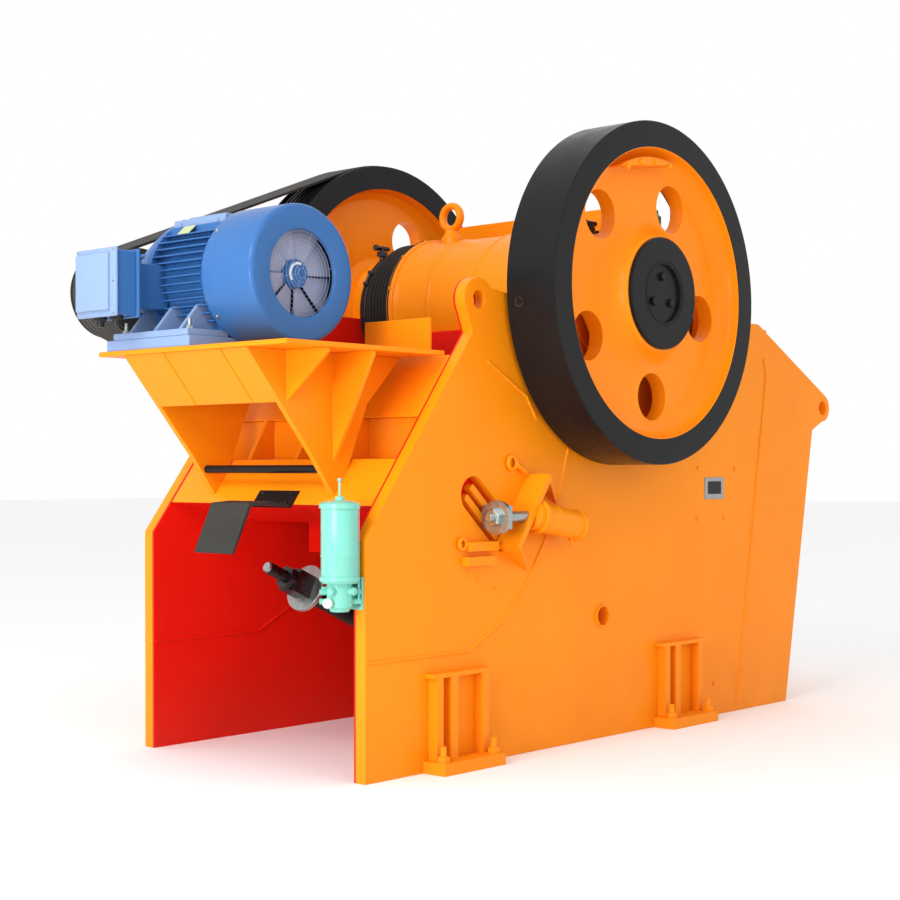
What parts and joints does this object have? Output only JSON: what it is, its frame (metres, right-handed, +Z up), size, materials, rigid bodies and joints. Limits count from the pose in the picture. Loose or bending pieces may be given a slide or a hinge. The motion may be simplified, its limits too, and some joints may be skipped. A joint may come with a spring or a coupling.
{
  "type": "jaw crusher",
  "caption": "Stationary single-toggle jaw crusher with a plain flywheel, a belt-driven grooved sheave, an electric motor on a rear platform and bolt-down feet.",
  "frame": {"origin": "on the ground, at the centre of the foundation bolt rectangles, on the machine's middle plane", "axes": "+X from the discharge and motor end to the feed end, +Y to the belt side, +Z up"},
  "size_m": [4.627, 2.194, 3.091],
  "materials": {
    "frame_paint": "satin",
    "interior_red": "satin",
    "cast_jaw": "rough",
    "wheel_black": "painted satin",
    "cap_black": "satin",
    "dark_steel": "oiled",
    "bright_steel": "zinc plated",
    "motor_blue": "gloss",
    "motor_grey": "satin",
    "fan_plastic": "moulded",
    "belt_rubber": "matt",
    "flap_rubber": "matt",
    "pump_green": "gloss",
    "tag_grey": "plain, blank"
  },
  "bodies": {
    "frame": {"adjuster_brackets": "frame_paint", "adjuster_cylinders": "frame_paint", "adjuster_screws": "bright_steel", "adjuster_wedges": "frame_paint", "bearing_housings": "frame_paint", "cheek_plates": "cast_jaw", "cross_rod": "dark_steel", "deck_guard": "frame_paint", "deck_supports": "frame_paint", "drive_belt": "belt_rubber", "fan_cover": "motor_blue", "feed_guard": "frame_paint", "fixed_jaw_plate": "cast_jaw", "flap_clamp": "cap_black", "front_feet": "frame_paint", "front_plate": "frame_paint", "front_wall": "frame_paint", "grease_pump": "pump_green", "lifting_eye": "frame_paint", "motor_base": "motor_grey", "motor_deck": "frame_paint", "motor_frame": "motor_blue", "moving_jaw_plate": "cast_jaw", "pitman_barrel": "frame_paint", "pitman_body": "interior_red", "rear_beam": "frame_paint", "rear_feet": "frame_paint", "rear_recess": "frame_paint", "rear_upper_plate": "frame_paint", "rubber_flap": "flap_rubber", "shaft_seals": "cap_black", "side_plate_far": "frame_paint", "side_plate_near": "frame_paint", "spring_washer": "bright_steel", "tag_plate": "tag_grey", "tension_rod": "dark_steel", "tension_sleeve": "cap_black", "terminal_box": "motor_blue", "toggle_block": "interior_red", "toggle_plate": "interior_red"},
    "wheels": {"eccentric_shaft": "bright_steel", "flywheel": "wheel_black", "sheave": "wheel_black", "hub_caps": "cap_black", "counterweights": "cap_black"},
    "motor_rotor": {"motor_shaft": "bright_steel", "motor_pulley": "wheel_black", "motor_fan": "fan_plastic"}
  },
  "joints": [
    {"name": "wheel_spin", "type": "hinge", "parent": "frame", "child": "wheels", "pos_m": [0.295, 0, 2.235], "axis": [0, 1, 0], "continuous": true},
    {"name": "motor_spin", "type": "hinge", "parent": "frame", "child": "motor_rotor", "pos_m": [-1.473, 0, 2.235], "axis": [0, 1, 0], "continuous": true}
  ],
  "couplings": [
    {"joint": "motor_spin", "follows": "wheel_spin", "ratio": 4.077}
  ]
}
